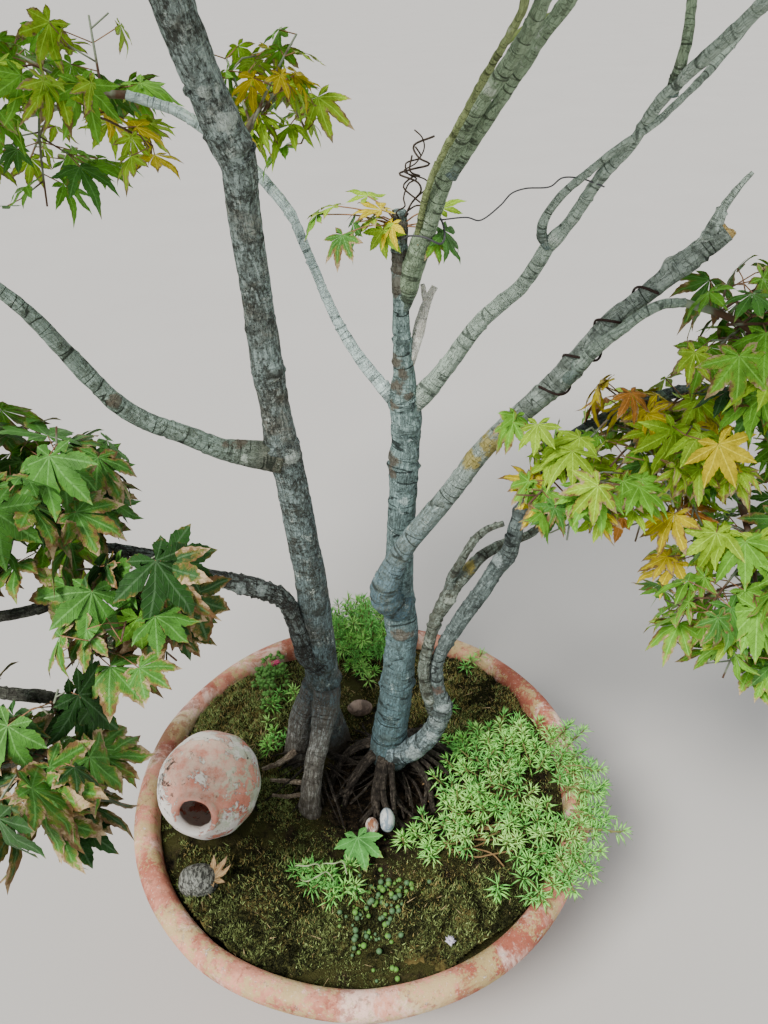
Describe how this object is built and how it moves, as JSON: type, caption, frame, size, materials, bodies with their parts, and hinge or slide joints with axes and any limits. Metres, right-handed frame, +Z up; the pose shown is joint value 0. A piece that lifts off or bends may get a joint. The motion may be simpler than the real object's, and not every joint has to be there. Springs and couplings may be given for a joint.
{
  "type": "potted maple bonsai",
  "caption": "Maple trained as a bonsai, two trunks and open foliage, in a round terracotta bowl with moss, stonecrop, stones and a small clay jar on the soil.",
  "frame": {"origin": "centre of the bowl's flat underside", "axes": "+Z up, +X to the tree's right as seen from its front, +Y from its front to its back"},
  "size_m": [1.3189, 1.0178, 1.6244],
  "materials": {
    "terracotta": "matte, weathered, with pale lime stains",
    "old_clay": "matte, flaking, lime-crusted",
    "soil": "damp, crumbly",
    "bark_grey": "fissured bark",
    "bark_blue_green": "ringed bark with fine cracks",
    "bark_pale": "smooth bark with dark scars",
    "bark_olive": "smooth bark",
    "bark_dark": "wrinkled bark",
    "dead_wood": "peeled, dry",
    "leaf_green": "satin leaf",
    "leaf_dark": "satin leaf",
    "leaf_yellow": "satin leaf",
    "stonecrop": "waxy",
    "moss": "soft, matte",
    "pebble_grey": "matte",
    "pebble_brown": "matte"
  },
  "bodies": {
    "root": {"pot": "terracotta", "soil_fill": "soil", "left_trunk": "bark_grey", "central_trunk": "bark_blue_green", "bough_right_cut": "bark_pale", "branch_right_wired": "bark_olive", "bough_low_right": "bark_blue_green", "branch_low_right_twin": "bark_dark", "branch_low_right_hanging": "bark_blue_green", "bough_upper_right": "bark_pale", "branch_upper_right_thin": "bark_olive", "branch_upper_right_back": "bark_olive", "leader_right": "bark_olive", "leader_right_twin": "bark_olive", "stem_right_slender": "bark_olive", "stub_dead_right": "dead_wood", "branch_left_slender": "bark_pale", "bough_left": "bark_blue_green", "bough_low_left": "bark_grey", "branch_low_left_outer": "bark_dark", "branch_low_left_front": "bark_dark", "leader_left": "bark_grey", "bough_left_front": "bark_grey", "bough_left_back": "bark_grey", "foliage_top_left": "leaf_green", "foliage_top_right": "leaf_green", "foliage_left_front": "leaf_green", "foliage_left_back": "leaf_yellow", "foliage_back": "leaf_green", "foliage_back_right": "leaf_green", "foliage_right": "leaf_yellow", "foliage_right_front": "leaf_green", "foliage_front": "leaf_green", "foliage_left_middle": "leaf_green", "foliage_left_high": "leaf_yellow", "foliage_trunk_spray": "leaf_yellow", "foliage_stub_spray": "leaf_yellow", "foliage_right_high": "leaf_green", "foliage_right_near": "leaf_yellow", "foliage_right_inner": "leaf_green", "foliage_right_outer": "leaf_yellow", "foliage_right_low": "leaf_green", "foliage_left_inner": "leaf_dark", "foliage_left_near": "leaf_dark", "foliage_left_outer": "leaf_dark", "foliage_left_low": "leaf_dark", "clay_jar": "old_clay", "pebble_banded": "pebble_grey", "pebble_brown": "pebble_brown", "stone_pink": "pebble_brown", "stone_grey": "pebble_grey", "stonecrop_right": "stonecrop", "stonecrop_back": "stonecrop", "moss_left": "moss", "moss_front": "moss", "moss_right_front": "moss", "moss_back_right": "moss"}
  },
  "joints": []
}
